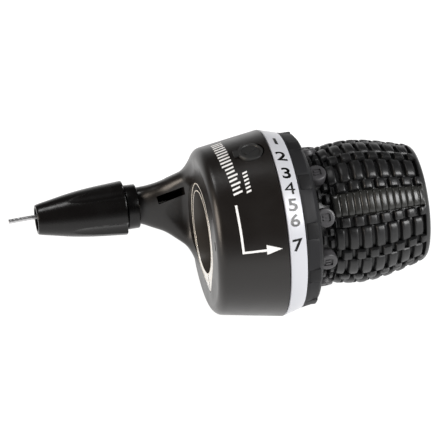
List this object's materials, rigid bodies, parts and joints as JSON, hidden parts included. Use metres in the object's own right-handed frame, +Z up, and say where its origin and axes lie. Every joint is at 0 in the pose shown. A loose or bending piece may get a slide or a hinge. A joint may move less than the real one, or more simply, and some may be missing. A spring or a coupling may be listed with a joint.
{
  "type": "twist grip gear shifter",
  "caption": "Handlebar twist-grip gear shifter: numbered dial ring, ribbed rubber sleeve, tapered housing with clamp band and a fluted cable adjuster on a side arm.",
  "frame": {"origin": "on the handlebar's axis, at the clamp band's inboard face", "axes": "+X outboard along the handlebar and the grip, +Y forwards away from the rider, +Z up"},
  "size_m": [0.1096, 0.0524, 0.051],
  "materials": {
    "housing_plastic": "satin",
    "drum_plastic": "satin",
    "ring_plastic": "gloss",
    "grip_rubber": "matte",
    "knob_plastic": "semi-gloss",
    "plug_rubber": "matte",
    "clamp_alloy": "satin",
    "steel": "satin",
    "spring_steel": "satin",
    "seat_brass": "satin",
    "guide_plastic": "satin"
  },
  "bodies": {
    "housing": {"housing_shell": "housing_plastic", "base_tube": "drum_plastic", "clamp_band": "clamp_alloy", "clamp_bolt": "steel", "clamp_nut": "steel", "housing_screws": "steel", "thrust_washer": "steel", "index_spring": "spring_steel", "end_retainer": "drum_plastic", "cable_guide": "guide_plastic", "cable_bend": "steel", "adjuster_collar": "knob_plastic", "adjuster_spring": "spring_steel", "knob_clip": "spring_steel"},
    "twist_grip": {"shift_drum": "drum_plastic", "indicator_ring": "ring_plastic", "grip_keys": "grip_rubber", "rubber_grip": "grip_rubber", "cable_anchor_head": "steel", "cable_wrap": "steel"},
    "cable": {"cable_run": "steel"},
    "adjuster_knob": {"adjuster_knob": "knob_plastic"},
    "adjuster_seat": {"adjuster_seat": "seat_brass"},
    "port_plug": {"cable_port_plug": "plug_rubber"}
  },
  "joints": [
    {"name": "grip_twist", "type": "hinge", "parent": "housing", "child": "twist_grip", "pos_m": [0.03, 0, 0], "axis": [1, 0, 0], "range_deg": [0, 77], "deforming": ["index_spring", "cable_bend"]},
    {"name": "cable_pull", "type": "slide", "parent": "housing", "child": "cable", "axis": [1, 0, 0], "range_m": [0, 0.0189]},
    {"name": "knob_turn", "type": "hinge", "parent": "housing", "child": "adjuster_knob", "pos_m": [-0.03, 0.01939, -0.00377], "axis": [1, 0, 0], "range_deg": [0, 1260]},
    {"name": "seat_travel", "type": "slide", "parent": "housing", "child": "adjuster_seat", "axis": [-1, 0, 0], "range_m": [0, 0.0028]},
    {"name": "plug_pull", "type": "slide", "parent": "housing", "child": "port_plug", "axis": [0, 0.0419, 0.9991], "range_m": [0, 0.008]}
  ],
  "couplings": [
    {"joint": "cable_pull", "follows": "grip_twist", "m_per_rad": 0.014},
    {"joint": "knob_turn", "follows": "seat_travel", "rad_per_m": 7854}
  ]
}
